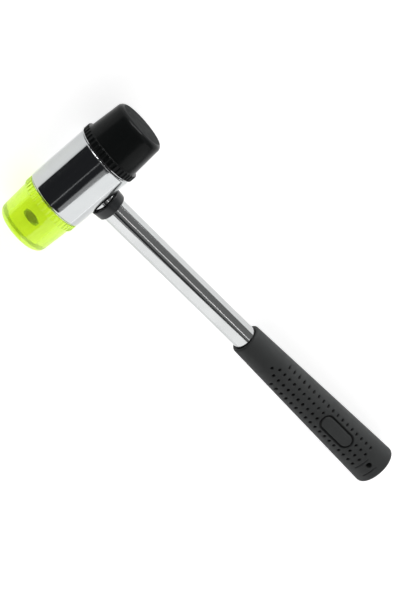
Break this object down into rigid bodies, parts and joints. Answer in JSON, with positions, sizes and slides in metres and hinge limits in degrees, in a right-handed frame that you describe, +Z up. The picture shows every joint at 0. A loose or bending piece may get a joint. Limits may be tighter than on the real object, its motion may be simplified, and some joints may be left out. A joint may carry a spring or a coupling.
{
  "type": "two-faced soft mallet",
  "caption": "Soft mallet with a plated steel head sleeve, a black rubber face, a translucent plastic face, a steel tube handle and a rubber grip.",
  "frame": {"origin": "centre of the bounding box's underside, on the surface the mallet lies on", "axes": "+X along the handle from the head to the grip, +Y along the head towards the black face, +Z up from the surface it lies on"},
  "size_m": [0.305, 0.0974, 0.041],
  "materials": {
    "plated_steel": "bright plating, lightly brushed",
    "tube_steel": "satin plating",
    "turned_steel": "turned",
    "bolt_steel": "zinc plated",
    "black_rubber": "smooth moulded, satin",
    "lime_plastic": "translucent moulded plastic, glossy",
    "collar_plastic": "semi-gloss moulded",
    "plug_plastic": "moulded",
    "grip_rubber": "matte moulded with dimples"
  },
  "bodies": {
    "head_and_handle": {"head_sleeve": "plated_steel", "black_end_tapped_plate": "turned_steel", "lime_end_tapped_plate": "turned_steel", "handle_tube": "tube_steel", "tube_expander_plug": "turned_steel", "tube_end_plug": "plug_plastic", "neck_collar": "collar_plastic", "rubber_grip": "grip_rubber"},
    "black_washer": {"black_face_washer": "bolt_steel"},
    "black_face_on_bolt": {"black_face": "black_rubber", "black_face_bolt": "bolt_steel"},
    "lime_washer": {"lime_face_washer": "bolt_steel"},
    "lime_face_on_bolt": {"lime_face": "lime_plastic", "lime_face_bolt": "bolt_steel"}
  },
  "joints": [
    {"name": "black_face_travel", "type": "slide", "parent": "head_and_handle", "child": "black_washer", "axis": [0, 1, 0], "range_m": [0, 0.008]},
    {"name": "black_face_turn", "type": "hinge", "parent": "black_washer", "child": "black_face_on_bolt", "pos_m": [-0.1321, 0.001, 0.0205], "axis": [0, 1, 0], "range_deg": [0, 2305]},
    {"name": "lime_face_travel", "type": "slide", "parent": "head_and_handle", "child": "lime_washer", "axis": [0, -1, 0], "range_m": [0, 0.008]},
    {"name": "lime_face_turn", "type": "hinge", "parent": "lime_washer", "child": "lime_face_on_bolt", "pos_m": [-0.1321, 0.001, 0.0205], "axis": [0, -1, 0], "range_deg": [0, 2305]}
  ],
  "couplings": [
    {"joint": "black_face_turn", "follows": "black_face_travel", "rad_per_m": 5026.5},
    {"joint": "lime_face_turn", "follows": "lime_face_travel", "rad_per_m": 5026.5}
  ]
}
